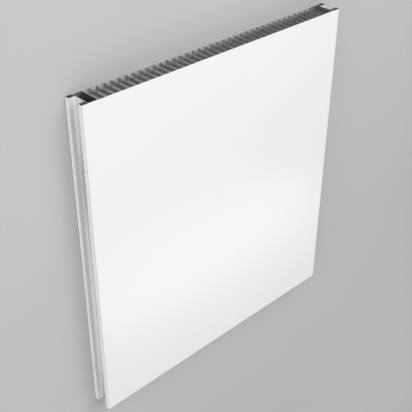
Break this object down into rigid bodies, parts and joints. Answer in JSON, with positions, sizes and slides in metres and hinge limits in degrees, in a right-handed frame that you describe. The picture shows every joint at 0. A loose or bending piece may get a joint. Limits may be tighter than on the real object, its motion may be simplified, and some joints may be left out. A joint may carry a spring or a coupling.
{
  "type": "cleanroom wall panel",
  "caption": "Flat wall panel with white coated steel skins on a honeycomb core, and a groove down each long side for a joining spline.",
  "frame": {"origin": "under the middle of the panel, on the rear skin's outer face, which it lies on", "axes": "+X along the width, +Y along the height it has when it stands, towards its top end, +Z through the thickness, out of the front skin"},
  "size_m": [0.7, 0.75, 0.05],
  "materials": {
    "front_skin": "satin",
    "rear_skin": "satin",
    "edge_channel_left": "zinc coated, dull",
    "edge_channel_right": "zinc coated, dull",
    "honeycomb_core": "bare foil"
  },
  "bodies": {
    "root": {"front_skin": "front_skin", "rear_skin": "rear_skin", "edge_channel_left": "edge_channel_left", "edge_channel_right": "edge_channel_right", "honeycomb_core": "honeycomb_core"}
  },
  "joints": []
}
